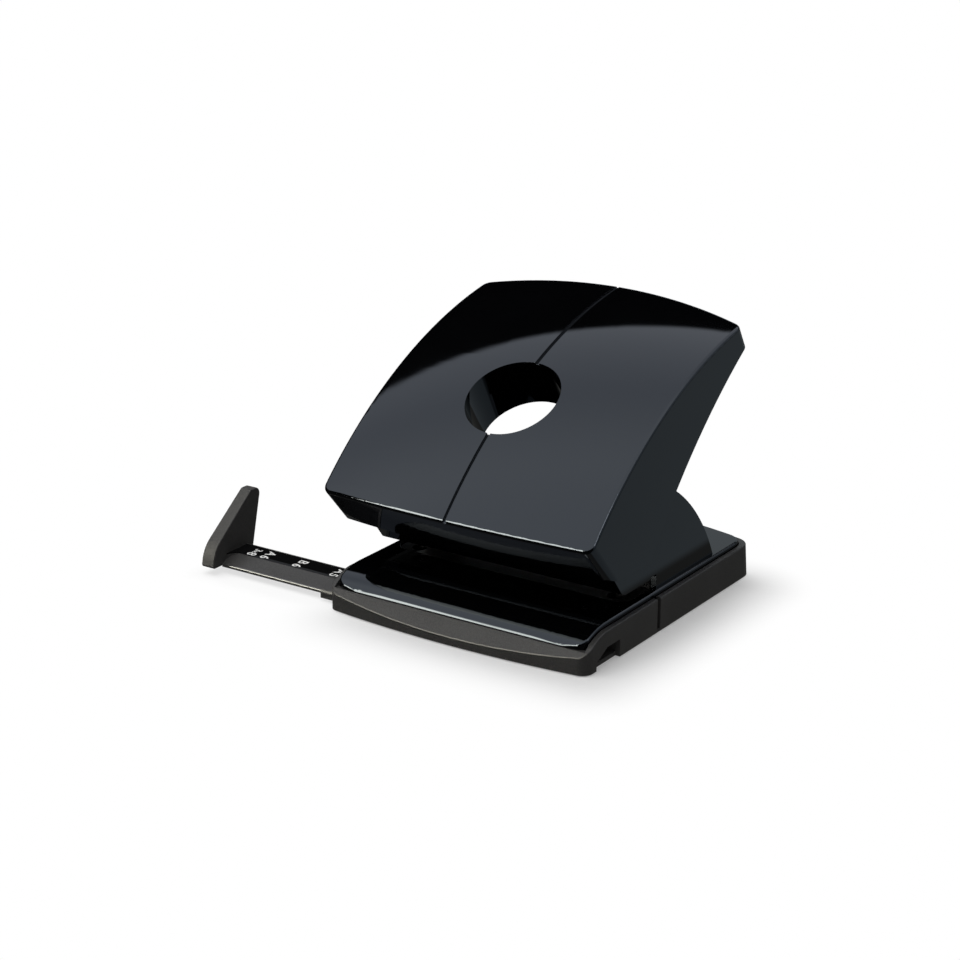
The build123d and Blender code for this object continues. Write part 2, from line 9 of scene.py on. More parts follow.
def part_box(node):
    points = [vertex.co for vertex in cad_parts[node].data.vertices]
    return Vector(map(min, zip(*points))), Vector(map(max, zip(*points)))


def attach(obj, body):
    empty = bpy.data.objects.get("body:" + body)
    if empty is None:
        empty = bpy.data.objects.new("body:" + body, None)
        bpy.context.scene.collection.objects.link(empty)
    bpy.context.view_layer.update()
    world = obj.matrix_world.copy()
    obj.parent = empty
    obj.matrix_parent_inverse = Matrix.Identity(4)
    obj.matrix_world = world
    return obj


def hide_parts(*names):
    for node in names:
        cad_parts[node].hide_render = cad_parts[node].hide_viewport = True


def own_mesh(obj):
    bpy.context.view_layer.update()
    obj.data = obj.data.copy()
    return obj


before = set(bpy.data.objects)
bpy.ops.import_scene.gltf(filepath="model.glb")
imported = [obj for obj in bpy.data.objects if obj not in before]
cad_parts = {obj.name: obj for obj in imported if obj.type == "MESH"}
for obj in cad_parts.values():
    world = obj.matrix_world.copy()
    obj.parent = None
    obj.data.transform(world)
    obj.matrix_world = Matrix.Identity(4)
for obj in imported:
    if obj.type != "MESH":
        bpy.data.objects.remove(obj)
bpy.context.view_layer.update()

bl_info = {
    "name": "Desk punch",
    "version": (1, 0, 0),
    "blender": (4, 5, 0),
    "location": "View3D > Sidebar > Punch",
    "description": "Finishes, printed marks and studio for a two-hole desk punch with a paper guide",
    "category": "Object",
}

millimetre = 0.001
black = (0.0, 0.0, 0.0)
white = (1.0, 1.0, 1.0)

# The guide's marks: how far each lies from the stop's face, and its rows of figures, in millimetres.
# A row is its words, its share of the full figure height and its shift towards the front.
letter_shift = -1.9
number_shift = 1.9
guide_marks = {
    "3x8": (7.6, (("3", 0.8, -2.1), ("x", 0.6, -0.3), ("8", 1.0, number_shift))),
    "A6": (13.5, (("A", 1.0, letter_shift), ("6", 1.0, number_shift))),
    "B6": (28.0, (("B", 1.0, letter_shift), ("6", 1.0, number_shift))),
    "A5": (44.4, (("A", 1.0, letter_shift), ("5", 1.0, number_shift))),
}

# Height of a capital letter as a share of the text's size, and how much the figures are fattened
# as a share of their height.
capital_share = 0.7
figure_swell = 0.02

# Steps in each turn of a spring, and sides of its round wire.
steps_in_turn = 36
wire_sides = 12

# Each steel's streaks, as about how many lie in a metre along X, Y and Z,
# and its lowest and highest roughness.
steel_workings = {
    "plate_steel": ((60.0, 2500.0, 2500.0), (0.30, 0.48)),
    "bright_steel": ((900.0, 900.0, 900.0), (0.16, 0.30)),
    "zinc_plate": ((700.0, 700.0, 2500.0), (0.28, 0.45)),
    "spring_steel": ((1500.0, 1500.0, 300.0), (0.25, 0.42)),
}

# Widths in metres over which the guide's rubbed lip and its dull stop turn into the plain plastic.
lip_softness = 0.0001
stop_softness = 0.001

# Places of the two colours among a Mix node's inputs, and of the mixed colour among its outputs.
mix_colour_inputs = (6, 7)
mix_colour_output = 2

# Soft cards on the studio's hood: lowest and highest heading and elevation in degrees, softness and colour.
# A heading is measured from the back towards the right side.
hood_cards = {
    "rear_card": (-31.0, 12.0, 4.0, 28.0, 1.5, (0.36, 0.40, 0.42)),
    "right_card": (28.0, 104.0, -1.0, 30.0, 4.0, (0.40, 0.45, 0.50)),
    "right_strip": (92.0, 102.0, 27.0, 45.0, 3.0, (6.0, 6.0, 6.0)),
    "front_strip": (-174.0, -131.0, 5.0, 33.0, 1.2, (18.0, 17.4, 15.0)),
}

# The light in the hood's roof ends at a slanting edge and is brighter towards the front.
# A slant is the shares of X and Y that measure across such a line; a step is where a change starts and ends.
roof_edge_slant = (-0.69, 0.72)
roof_edge_step = (1.135, 1.065)
roof_fade_slant = (-0.4, 0.9)
roof_fade_step = (-0.1, 0.5)
roof_front_colour = (1.56, 1.58, 1.61)
roof_back_colour = (0.97, 1.01, 1.09)

# The hood's glowing bottom, which the lower faces mirror in place of the floor, is a painted reflection:
# painted shade darkest in front, paler to the right, and an even grey further out.
painted_floor_reflection_front_step = (-0.045, -0.035)
painted_floor_reflection_right_step = (0.071, 0.076)
painted_floor_reflection_far_step = (0.3, 1.6)
painted_floor_reflection_front_colour = (0.03, 0.03, 0.03)
painted_floor_reflection_middle_colour = (0.085, 0.085, 0.08)
painted_floor_reflection_right_colour = (0.20, 0.23, 0.245)
painted_floor_reflection_far_colour = (0.10, 0.10, 0.10)

# Sides of the round floor and hood, how far the floor and the hood's glowing bottom, a painted floor
# reflection, lie under the object, and how far the hood's roof lies over the lamp.
round_sides = 96
floor_drop = 0.0004
painted_floor_reflection_drop = 0.0002
roof_rise = 0.002


class PunchFinishes(bpy.types.PropertyGroup):
    """Colours and surfaces of the finishes."""

    gloss_colour: FloatVectorProperty(
        name="Gloss black",
        description="Colour of the lever, the bridge and the top of the base",
        subtype="COLOR",
        size=3,
        min=0.0,
        max=1.0,
        default=(0.0012, 0.0013, 0.0016),
    )
    gloss_tint: FloatVectorProperty(
        name="Gloss tint",
        description="Colour that the polished black plastic gives to its reflections",
        subtype="COLOR",
        size=3,
        min=0.0,
        max=1.0,
        default=(0.77, 0.865, 1.0),
    )
    gloss_roughness: FloatProperty(
        name="Gloss roughness",
        description="Roughness of the polished black plastic",
        subtype="FACTOR",
        min=0.0,
        max=1.0,
        default=0.04,
    )
    crisp_edge: FloatProperty(
        name="Crisp edge",
        description="Radius that the edges of the lever and the bridge seem to have",
        subtype="DISTANCE",
        unit="LENGTH",
        min=0.0,
        default=0.00006,
    )
    soft_edge: FloatProperty(
        name="Soft edge",
        description="Radius that the edges of the top of the base seem to have",
        subtype="DISTANCE",
        unit="LENGTH",
        min=0.0,
        default=0.00025,
    )
    charcoal_colour: FloatVectorProperty(
        name="Charcoal",
        description="Colour of the tray and the guide",
        subtype="COLOR",
        size=3,
        min=0.0,
        max=1.0,
        default=(0.050, 0.049, 0.048),
    )
    charcoal_roughness: FloatProperty(
        name="Charcoal roughness",
        description="Roughness of the satin charcoal plastic",
        subtype="FACTOR",
        min=0.0,
        max=1.0,
        default=0.27,
    )
    strip_colour: FloatVectorProperty(
        name="Strip black",
        description="Colour of the strip in the top of the guide",
        subtype="COLOR",
        size=3,
        min=0.0,
        max=1.0,
        default=(0.003, 0.003, 0.0032),
    )
    ink_colour: FloatVectorProperty(
        name="Mark ink",
        description="Colour of the printed marks",
        subtype="COLOR",
        size=3,
        min=0.0,
        max=1.0,
        default=(0.86, 0.86, 0.85),
    )
    plate_colour: FloatVectorProperty(
        name="Plate steel",
        description="Colour of the blackened steel plate",
        subtype="COLOR",
        size=3,
        min=0.0,
        max=1.0,
        default=(0.012, 0.012, 0.013),
    )
    bright_colour: FloatVectorProperty(
        name="Bright steel",
        description="Colour of the ground and turned steel",
        subtype="COLOR",
        size=3,
        min=0.0,
        max=1.0,
        default=(0.62, 0.62, 0.63),
    )
    spring_colour: FloatVectorProperty(
        name="Spring steel",
        description="Colour of the drawn spring wire",
        subtype="COLOR",
        size=3,
        min=0.0,
        max=1.0,
        default=(0.42, 0.42, 0.43),
    )
    screw_colour: FloatVectorProperty(
        name="Zinc plate",
        description="Colour of the plated screws",
        subtype="COLOR",
        size=3,
        min=0.0,
        max=1.0,
        default=(0.56, 0.56, 0.55),
    )
    lip_edge: FloatProperty(
        name="Lip edge",
        description="How far to the front the slope of the guide reaches before its rubbed lip",
        subtype="DISTANCE",
        unit="LENGTH",
        default=-0.0307,
    )
    stop_dulling: FloatProperty(
        name="Stop dulling",
        description="How much rougher the handled stop is than the rest of the guide",
        subtype="FACTOR",
        min=0.0,
        max=0.5,
        default=0.25,
    )
    grain_size: FloatProperty(
        name="Grain size",
        description="Size of the fine grain moulded into the charcoal plastic",
        subtype="DISTANCE",
        unit="LENGTH",
        min=0.0001,
        default=0.0004,
    )


class PunchSprings(bpy.types.PropertyGroup):
    """Sizes of the return springs."""

    wire_radius: FloatProperty(
        name="Wire radius",
        description="Radius of the wire that the return springs are coiled from",
        subtype="DISTANCE",
        unit="LENGTH",
        min=0.0001,
        default=0.00035,
    )
    turns: IntProperty(
        name="Turns",
        description="Turns of each return spring",
        min=1,
        default=4,
    )


class PunchMarks(bpy.types.PropertyGroup):
    """Sizes of the guide's printed marks."""

    figure_height: FloatProperty(
        name="Figure height",
        description="Height of the full-size figures on the guide",
        subtype="DISTANCE",
        unit="LENGTH",
        min=0.001,
        default=0.0036,
    )
    setback: FloatProperty(
        name="Setback",
        description="How far the marks' middle line lies before the strip's back edge",
        subtype="DISTANCE",
        unit="LENGTH",
        min=0.0,
        default=0.00495,
    )
    ink_thickness: FloatProperty(
        name="Ink thickness",
        description="Thickness of the printed marks",
        subtype="DISTANCE",
        unit="LENGTH",
        min=0.00001,
        default=0.00004,
    )


class PunchStage(bpy.types.PropertyGroup):
    """Camera, lights and floor."""

    camera_place: FloatVectorProperty(
        name="Camera place",
        description="Where the camera stands",
        subtype="TRANSLATION",
        unit="LENGTH",
        size=3,
        default=(0.42008, -0.64040, 0.31487),
    )
    camera_azimuth: FloatProperty(
        name="Camera azimuth",
        description="Heading of the view, from straight ahead towards the right side",
        subtype="ANGLE",
        default=math.radians(34.153),
    )
    camera_elevation: FloatProperty(
        name="Camera elevation",
        description="How far the view looks down",
        subtype="ANGLE",
        default=math.radians(19.331),
    )
    lens: FloatProperty(
        name="Lens",
        description="Focal length on a 36 mm wide image",
        subtype="DISTANCE_CAMERA",
        min=10.0,
        default=90.0,
    )
    lamp_level: FloatProperty(
        name="Lamp level",
        description="How bright a white horizontal face gets from the overhead lamp",
        min=0.0,
        default=0.73,
    )
    fill_level: FloatProperty(
        name="Fill level",
        description="Light that comes evenly from all round",
        min=0.0,
        default=0.22,
    )
    lamp_place: FloatVectorProperty(
        name="Lamp place",
        description="Where the middle of the overhead lamp hangs",
        subtype="TRANSLATION",
        unit="LENGTH",
        size=3,
        default=(-0.5, -0.2, 1.2),
    )
    lamp_radius: FloatProperty(
        name="Lamp radius",
        description="Radius of the overhead lamp",
        subtype="DISTANCE",
        unit="LENGTH",
        min=0.1,
        default=0.8,
    )
    hood_radius: FloatProperty(
        name="Hood radius",
        description="Radius of the hood that the polished faces mirror",
        subtype="DISTANCE",
        unit="LENGTH",
        min=1.0,
        default=2.2,
    )
    shadow_reach: FloatProperty(
        name="Shadow reach",
        description="How far from the base the floor turns into the white of the background",
        subtype="DISTANCE",
        unit="LENGTH",
        min=0.001,
        default=0.030,
    )
    guide_shadow_reach: FloatProperty(
        name="Guide's shadow reach",
        description="How far from the guide the floor turns into the white of the background",
        subtype="DISTANCE",
        unit="LENGTH",
        min=0.001,
        default=0.008,
    )
    guide_shadow_fade: FloatProperty(
        name="Guide's shadow fade",
        description="How far the floor has turned into the white of the background under the guide",
        subtype="FACTOR",
        min=0.0,
        max=1.0,
        default=0.6,
    )
    shadow_insets: FloatVectorProperty(
        name="Shadow insets",
        description="How far inside the base's left side and back the shadow starts to fade",
        subtype="XYZ_LENGTH",
        unit="LENGTH",
        size=2,
        min=0.0,
        default=(0.012, 0.022),
    )
    floor_radius: FloatProperty(
        name="Floor radius",
        description="Radius of the pale floor",
        subtype="DISTANCE",
        unit="LENGTH",
        min=1.0,
        default=4.0,
    )
    floor_albedo: FloatProperty(
        name="Floor albedo",
        description="Share of the light that the pale floor gives back",
        subtype="FACTOR",
        min=0.0,
        max=1.0,
        default=0.80,
    )


# Small helpers for node trees


def put(tree, kind, **values):
    """Adds a node and sets its inputs by name, with spaces written as underscores."""
    node = tree.nodes.new(kind)
    for name, value in values.items():
        node.inputs[name.replace("_", " ")].default_value = value
    return node


def join(tree, source, target):
    """Links two sockets."""
    tree.links.new(source, target)


def maths(tree, operation, *values):
    """Adds a Math node that works on one or two values, each a socket or a number."""
    node = tree.nodes.new("ShaderNodeMath")
    node.operation = operation
    for value, target in zip(values, node.inputs):
        if isinstance(value, bpy.types.NodeSocket):
            join(tree, value, target)
        else:
            target.default_value = value
    return node.outputs["Value"]


def hypotenuse(tree, first, second):
    """Longest side of a right-angled triangle, from the other two."""
    squares = [maths(tree, "POWER", side, 2.0) for side in (first, second)]
    return maths(tree, "SQRT", maths(tree, "ADD", *squares))


def spread(tree, value, low, high):
    """Maps a value from 0 to 1 onto the range from low to high."""
    node = put(tree, "ShaderNodeMapRange", To_Min=low, To_Max=high)
    join(tree, value, node.inputs["Value"])
    return node.outputs["Result"]


def ramp(tree, value, start, end):
    """A smooth step of a value from 0 at start to 1 at end."""
    node = put(tree, "ShaderNodeMapRange", From_Min=start, From_Max=end)
    node.interpolation_type = "SMOOTHSTEP"
    join(tree, value, node.inputs["Value"])
    return node.outputs["Result"]


def window(tree, value, low, high, soft):
    """1 where a value lies between two limits, 0 beyond them, with soft edges."""
    rise = ramp(tree, value, low - soft, low + soft)
    fall = ramp(tree, value, high + soft, high - soft)
    return maths(tree, "MULTIPLY", rise, fall)


def tint(tree, mask, first, second):
    """Mixes two colours, each a colour or a socket, by a mask."""
    node = tree.nodes.new("ShaderNodeMix")
    node.data_type = "RGBA"
    join(tree, mask, node.inputs["Factor"])
    for value, place in zip((first, second), mix_colour_inputs):
        if isinstance(value, bpy.types.NodeSocket):
            join(tree, value, node.inputs[place])
        else:
            node.inputs[place].default_value = (*value, 1.0)
    return node.outputs[mix_colour_output]


def scaled(colour, share):
    """A colour made lighter or darker by a share."""
    return tuple(channel * share for channel in colour)


def own_place(tree):
    """X, Y and Z of a point in the piece's own coordinates."""
    coordinates = tree.nodes.new("ShaderNodeTexCoord")
    parts = tree.nodes.new("ShaderNodeSeparateXYZ")
    join(tree, coordinates.outputs["Object"], parts.inputs["Vector"])
    return tuple(parts.outputs[axis] for axis in "XYZ")


# Effects that several finishes share


def new_group(name, inputs, outputs):
    """Starts a shader node group with named sockets and returns its tree and its two end nodes."""
    tree = bpy.data.node_groups.new(name, "ShaderNodeTree")
    for socket, kind in inputs:
        tree.interface.new_socket(name=socket, in_out="INPUT", socket_type=kind)
    for socket in outputs:
        tree.interface.new_socket(name=socket, in_out="OUTPUT", socket_type="NodeSocketFloat")
    return tree, tree.nodes.new("NodeGroupInput"), tree.nodes.new("NodeGroupOutput")


def moulded_grain_group():
    """Fine cells and soft unevenness of a moulded surface: Cells is 0 to 1, Height is for a bump."""
    name = "moulded_grain"
    if name in bpy.data.node_groups:
        return bpy.data.node_groups[name]
    inputs = (("Vector", "NodeSocketVector"), ("Size", "NodeSocketFloat"))
    tree, start, end = new_group(name, inputs, ("Cells", "Height"))
    scale = maths(tree, "DIVIDE", 1.0, start.outputs["Size"])
    cells = put(tree, "ShaderNodeTexVoronoi", Randomness=1.0)
    cells.feature = "SMOOTH_F1"
    cells.inputs["Smoothness"].default_value = 0.5
    soft = put(tree, "ShaderNodeTexNoise", Detail=3.0, Roughness=0.6)
    for node in (cells, soft):
        join(tree, start.outputs["Vector"], node.inputs["Vector"])
        join(tree, scale, node.inputs["Scale"])
    height = maths(tree, "MULTIPLY", cells.outputs["Distance"], soft.outputs["Fac"])
    join(tree, ramp(tree, cells.outputs["Distance"], start=0.0, end=0.8), end.inputs["Cells"])
    join(tree, height, end.inputs["Height"])
    return tree


def handling_group():
    """Faint smears from handling over broad patches: Smear is 0 to 1."""
    name = "handling"
    if name in bpy.data.node_groups:
        return bpy.data.node_groups[name]
    inputs = (("Vector", "NodeSocketVector"), ("Size", "NodeSocketFloat"))
    tree, start, end = new_group(name, inputs, ("Smear",))
    scale = maths(tree, "DIVIDE", 1.0, start.outputs["Size"])
    finer_scale = maths(tree, "MULTIPLY", scale, 9.0)
    broad = put(tree, "ShaderNodeTexNoise", Detail=2.0, Roughness=0.5, Distortion=0.6)
    fine = put(tree, "ShaderNodeTexNoise", Detail=6.0, Roughness=0.7)
    for node, node_scale in ((broad, scale), (fine, finer_scale)):
        join(tree, start.outputs["Vector"], node.inputs["Vector"])
        join(tree, node_scale, node.inputs["Scale"])
    patches = ramp(tree, broad.outputs["Fac"], start=0.42, end=0.72)
    join(tree, maths(tree, "MULTIPLY", patches, fine.outputs["Fac"]), end.inputs["Smear"])
    return tree


def streaks_group():
    """Fine lines along one way, as rolling, drawing or grinding leaves them: Lines is 0 to 1."""
    name = "streaks"
    if name in bpy.data.node_groups:
        return bpy.data.node_groups[name]
    inputs = (("Vector", "NodeSocketVector"), ("Stretch", "NodeSocketVector"))
    tree, start, end = new_group(name, inputs, ("Lines",))
    stretched = tree.nodes.new("ShaderNodeVectorMath")
    stretched.operation = "MULTIPLY"
    for source, target in zip(("Vector", "Stretch"), stretched.inputs):
        join(tree, start.outputs[source], target)
    lines = put(tree, "ShaderNodeTexNoise", Scale=1.0, Detail=5.0, Roughness=0.65)
    join(tree, stretched.outputs["Vector"], lines.inputs["Vector"])
    join(tree, ramp(tree, lines.outputs["Fac"], start=0.3, end=0.7), end.inputs["Lines"])
    return tree


def place_group(tree, group, **values):
    """Places a node group on the piece's own coordinates and sets its inputs."""
    node = tree.nodes.new("ShaderNodeGroup")
    node.node_tree = group
    coordinates = tree.nodes.new("ShaderNodeTexCoord")
    join(tree, coordinates.outputs["Object"], node.inputs["Vector"])
    for name, value in values.items():
        node.inputs[name].default_value = value
    return node


# Finishes


def new_material(name):
    """Starts a material and returns it with its tree and its Principled shader."""
    material = bpy.data.materials.new(name)
    material.use_nodes = True
    tree = material.node_tree
    return material, tree, tree.nodes["Principled BSDF"]


def add_bump(tree, shader, height, depth, strength, edge):
    """Feeds a height through a bump into the shader's normal; edge is the radius that edges seem to have."""
    rounded = put(tree, "ShaderNodeBevel", Radius=edge)
    bump = put(tree, "ShaderNodeBump", Strength=strength, Distance=depth)
    join(tree, height, bump.inputs["Height"])
    join(tree, rounded.outputs["Normal"], bump.inputs["Normal"])
    join(tree, bump.outputs["Normal"], shader.inputs["Normal"])


def gloss_black(name, finishes, edge):
    """Polished black plastic with a trace of smears and of the mould's waviness."""
    material, tree, shader = new_material(name)
    smear = place_group(tree, handling_group(), Size=0.05).outputs["Smear"]
    colour = finishes.gloss_colour
    join(tree, tint(tree, smear, colour, scaled(colour, share=1.6)), shader.inputs["Base Color"])
    clean = finishes.gloss_roughness
    smeared = clean + 0.03
    join(tree, spread(tree, smear, clean, smeared), shader.inputs["Roughness"])
    shader.inputs["Specular Tint"].default_value = (*finishes.gloss_tint, 1.0)
    waves = place_group(tree, moulded_grain_group(), Size=0.006)
    add_bump(tree, shader, waves.outputs["Height"], depth=0.0001, strength=0.02, edge=edge)
    return material


def charcoal(name, finishes):
    """Satin charcoal plastic with a fine moulded grain."""
    material, tree, shader = new_material(name)
    grain = place_group(tree, moulded_grain_group(), Size=finishes.grain_size)
    smear = place_group(tree, handling_group(), Size=0.03).outputs["Smear"]
    colour = finishes.charcoal_colour
    grained = tint(tree, grain.outputs["Cells"], scaled(colour, share=0.8), scaled(colour, share=1.2))
    join(tree, tint(tree, smear, grained, scaled(colour, share=1.4)), shader.inputs["Base Color"])
    in_cells = finishes.charcoal_roughness
    between_cells = in_cells + 0.06
    join(tree, spread(tree, grain.outputs["Cells"], in_cells, between_cells), shader.inputs["Roughness"])
    shader.inputs["Specular IOR Level"].default_value = 0.22
    add_bump(tree, shader, grain.outputs["Height"], depth=0.00002, strength=0.06, edge=0.0002)
    return material


def wear_guide(material, finishes):
    """Adds the shine that the guide's front lip gets in its collar, and dulls the stop, which is handled."""
    tree = material.node_tree
    shader = tree.nodes["Principled BSDF"]
    # The strip starts at the stop's face.
    stop_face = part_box("scale_strip")[0].x
    x, y, _ = own_place(tree)
    lip = ramp(tree, y, finishes.lip_edge + lip_softness, finishes.lip_edge)
    beside_stop = ramp(tree, x, stop_face, stop_face + stop_softness)
    join(tree, maths(tree, "MULTIPLY", lip, beside_stop), shader.inputs["Coat Weight"])
    shader.inputs["Coat Roughness"].default_value = 0.05
    satin = shader.inputs["Roughness"].links[0].from_socket
    dulled = maths(tree, "ADD", satin, spread(tree, beside_stop, finishes.stop_dulling, 0.0))
    join(tree, dulled, shader.inputs["Roughness"])


def strip_black(finishes):
    """Smooth black strip with faint lines along its length."""
    material, tree, shader = new_material("strip_black_plastic")
    lines = place_group(tree, streaks_group(), Stretch=(120.0, 4000.0, 4000.0)).outputs["Lines"]
    colour = finishes.strip_colour
    join(tree, tint(tree, lines, colour, scaled(colour, share=1.8)), shader.inputs["Base Color"])
    join(tree, spread(tree, lines, low=0.16, high=0.24), shader.inputs["Roughness"])
    shader.inputs["Specular IOR Level"].default_value = 0.15
    return material


def mark_ink(finishes):
    """White printing ink, a little uneven."""
    material, tree, shader = new_material("mark_ink")
    cells = place_group(tree, moulded_grain_group(), Size=0.0003).outputs["Cells"]
    colour = finishes.ink_colour
    join(tree, tint(tree, cells, scaled(colour, share=0.94), colour), shader.inputs["Base Color"])
    join(tree, spread(tree, cells, low=0.45, high=0.6), shader.inputs["Roughness"])
    return material


def steel(name, colour):
    """Bare or plated steel with the lines of its working and a few duller patches."""
    stretch, roughness = steel_workings[name]
    material, tree, shader = new_material(name)
    lines = place_group(tree, streaks_group(), Stretch=stretch).outputs["Lines"]
    smear = place_group(tree, handling_group(), Size=0.02).outputs["Smear"]
    lined = tint(tree, lines, scaled(colour, share=0.86), colour)
    join(tree, tint(tree, smear, lined, scaled(colour, share=0.72)), shader.inputs["Base Color"])
    shader.inputs["Metallic"].default_value = 1.0
    dulled = maths(tree, "MAXIMUM", lines, smear)
    join(tree, spread(tree, dulled, *roughness), shader.inputs["Roughness"])
    add_bump(tree, shader, lines, depth=0.00001, strength=0.3, edge=0.0001)
    return material


def dress(nodes, material):
    """Gives the named solids a finish."""
    for name in nodes:
        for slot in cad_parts[name].material_slots:
            slot.material = material


# Pieces


class PUNCH_OT_dress_shell(bpy.types.Operator):
    """Finish the lever, the bridge and the top of the base in polished black"""

    bl_idname = "punch.dress_shell"
    bl_label = "Dress the black shell"

    def execute(self, context):
        finishes = context.scene.punch_finishes
        crisp = gloss_black("crisp_gloss_black", finishes, finishes.crisp_edge)
        dress(("lever_cover", "bridge_housing"), crisp)
        soft_edged = gloss_black("soft_edged_gloss_black", finishes, finishes.soft_edge)
        dress(("base_cover",), soft_edged)
        return {"FINISHED"}


class PUNCH_OT_dress_tray(bpy.types.Operator):
    """Finish the two parts of the tray and the guide in satin charcoal, and the guide's strip in black"""

    bl_idname = "punch.dress_tray"
    bl_label = "Dress the tray and the guide"

    def execute(self, context):
        finishes = context.scene.punch_finishes
        dress(("chip_tray", "rear_tray"), charcoal("tray_charcoal", finishes))
        guide = charcoal("guide_charcoal", finishes)
        wear_guide(guide, finishes)
        dress(("guide_rail",), guide)
        dress(("scale_strip",), strip_black(finishes))
        return {"FINISHED"}


class PUNCH_OT_dress_steel(bpy.types.Operator):
    """Finish the plate, the frames, the axle, the pins and the fasteners as steel"""

    bl_idname = "punch.dress_steel"
    bl_label = "Dress the steel pieces"

    def execute(self, context):
        finishes = context.scene.punch_finishes
        plate = steel("plate_steel", finishes.plate_colour)
        dress(("base_plate", "punch_frame_left", "punch_frame_right", "lever_frame"), plate)
        bright = steel("bright_steel", finishes.bright_colour)
        dress(("pivot_axle", "punch_pin_left", "punch_pin_right", "axle_clips"), bright)
        zinc = steel("zinc_plate", finishes.screw_colour)
        dress(("lever_screws", "housing_screws", "frame_rivets"), zinc)
        return {"FINISHED"}


def new_piece(name, shape, material):
    """Turns a bmesh into an object with one finish."""
    mesh = bpy.data.meshes.new(name)
    shape.to_mesh(mesh)
    shape.free()
    mesh.materials.append(material)
    piece = bpy.data.objects.new(name, mesh)
    bpy.context.scene.collection.objects.link(piece)
    return piece


def coiled_wire(low, high, wire, turns):
    """A coil of round wire that stands upright and fills a box."""
    steps = turns * steps_in_turn
    radius = (high.x - low.x) / 2 - wire
    rise = high.z - low.z - 2 * wire
    start = Matrix.Translation((radius, 0.0, wire)) @ Matrix.Rotation(math.pi / 2, 4, "X")
    shape = bmesh.new()
    bmesh.ops.create_circle(shape, segments=wire_sides, radius=wire, matrix=start)
    bmesh.ops.spin(
        shape,
        geom=[*shape.verts, *shape.edges],
        cent=(0.0, 0.0, 0.0),
        axis=(0.0, 0.0, 1.0),
        dvec=(0.0, 0.0, rise / steps),
        angle=turns * math.tau,
        steps=steps,
    )
    ends = [edge for edge in shape.edges if edge.is_boundary]
    bmesh.ops.holes_fill(shape, edges=ends, sides=0)
    bmesh.ops.recalc_face_normals(shape, faces=shape.faces)
    middle = (low + high) / 2
    bmesh.ops.translate(shape, verts=shape.verts, vec=(middle.x, middle.y, low.z))
    for face in shape.faces:
        face.smooth = len(face.verts) < wire_sides
    return shape


def add_spring(side, springs, material):
    """Coils the return spring of one pin."""
    node = f"punch_spring_{side}"
    low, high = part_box(node)
    shape = coiled_wire(low, high, springs.wire_radius, springs.turns)
    piece = new_piece(f"return_spring_{side}", shape, material)
    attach(piece, "base")
    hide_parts(node)
    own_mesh(piece)


class PUNCH_OT_coil_springs(bpy.types.Operator):
    """Coil the two return springs"""

    bl_idname = "punch.coil_springs"
    bl_label = "Coil the return springs"

    def execute(self, context):
        material = steel("spring_steel", context.scene.punch_finishes.spring_colour)
        for side in ("left", "right"):
            add_spring(side, context.scene.punch_springs, material)
        return {"FINISHED"}


def figures(words, height, thickness):
    """A mesh of printed figures, flat and centred at the origin."""
    text = bpy.data.curves.new(words, "FONT")
    text.body = words
    text.align_x = "CENTER"
    text.align_y = "CENTER"
    # The text is made one unit tall and thick and then scaled, because very small text fills badly.
    text.size = 1.0 / capital_share
    text.extrude = 1.0 / 2
    text.offset = figure_swell
    holder = bpy.data.objects.new(words, text)
    bpy.context.scene.collection.objects.link(holder)
    bpy.context.view_layer.update()
    mesh = bpy.data.meshes.new_from_object(holder)
    mesh.transform(Matrix.Diagonal((height, height, thickness, 1.0)))
    bpy.data.objects.remove(holder)
    bpy.data.curves.remove(text)
    return mesh


def printed_marks(marks):
    """All the marks in their places on the guide's strip."""
    low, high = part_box("scale_strip")
    middle = high.y - marks.setback
    top = high.z + marks.ink_thickness / 2
    turned = Matrix.Rotation(-math.pi / 2, 4, "Z")
    shape = bmesh.new()
    for distance, rows in guide_marks.values():
        for words, share, forward in rows:
            mesh = figures(words, marks.figure_height * share, marks.ink_thickness)
            place = Vector((low.x + distance * millimetre, middle - forward * millimetre, top))
            mesh.transform(Matrix.Translation(place) @ turned)
            shape.from_mesh(mesh)
            bpy.data.meshes.remove(mesh)
    bmesh.ops.remove_doubles(shape, verts=shape.verts, dist=1e-7)
    bmesh.ops.recalc_face_normals(shape, faces=shape.faces)
    return shape


class PUNCH_OT_add_marks(bpy.types.Operator):
    """Print the paper-size marks on the guide's strip"""

    bl_idname = "punch.add_marks"
    bl_label = "Add the guide's marks"

    def execute(self, context):
        shape = printed_marks(context.scene.punch_marks)
        piece = new_piece("guide_marks", shape, mark_ink(context.scene.punch_finishes))
        piece.visible_glossy = False
        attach(piece, "rail")
        return {"FINISHED"}


# Stage


def seen_rays(tree):
    """1 for camera, glossy and transmission rays, 0 for the rest."""
    path = tree.nodes.new("ShaderNodeLightPath")
    mirrored = maths(tree, "MAXIMUM", path.outputs["Is Glossy Ray"], path.outputs["Is Transmission Ray"])
    return maths(tree, "MAXIMUM", path.outputs["Is Camera Ray"], mirrored)


def light_world(stage):
    """A world that is white where it is seen and an even fill otherwise."""
    world = bpy.data.worlds.new("studio")
    world.use_nodes = True
    tree = world.node_tree
    background = tree.nodes["Background"]
    background.inputs["Color"].default_value = (*white, 1.0)
    join(tree, spread(tree, seen_rays(tree), stage.fill_level, 1.0), background.inputs["Strength"])
    return world


def bare_material(name):
    """Starts a material without a shader and returns it with its tree and its surface socket."""
    material, tree, shader = new_material(name)
    tree.nodes.remove(shader)
    return material, tree, tree.nodes["Material Output"].inputs["Surface"]


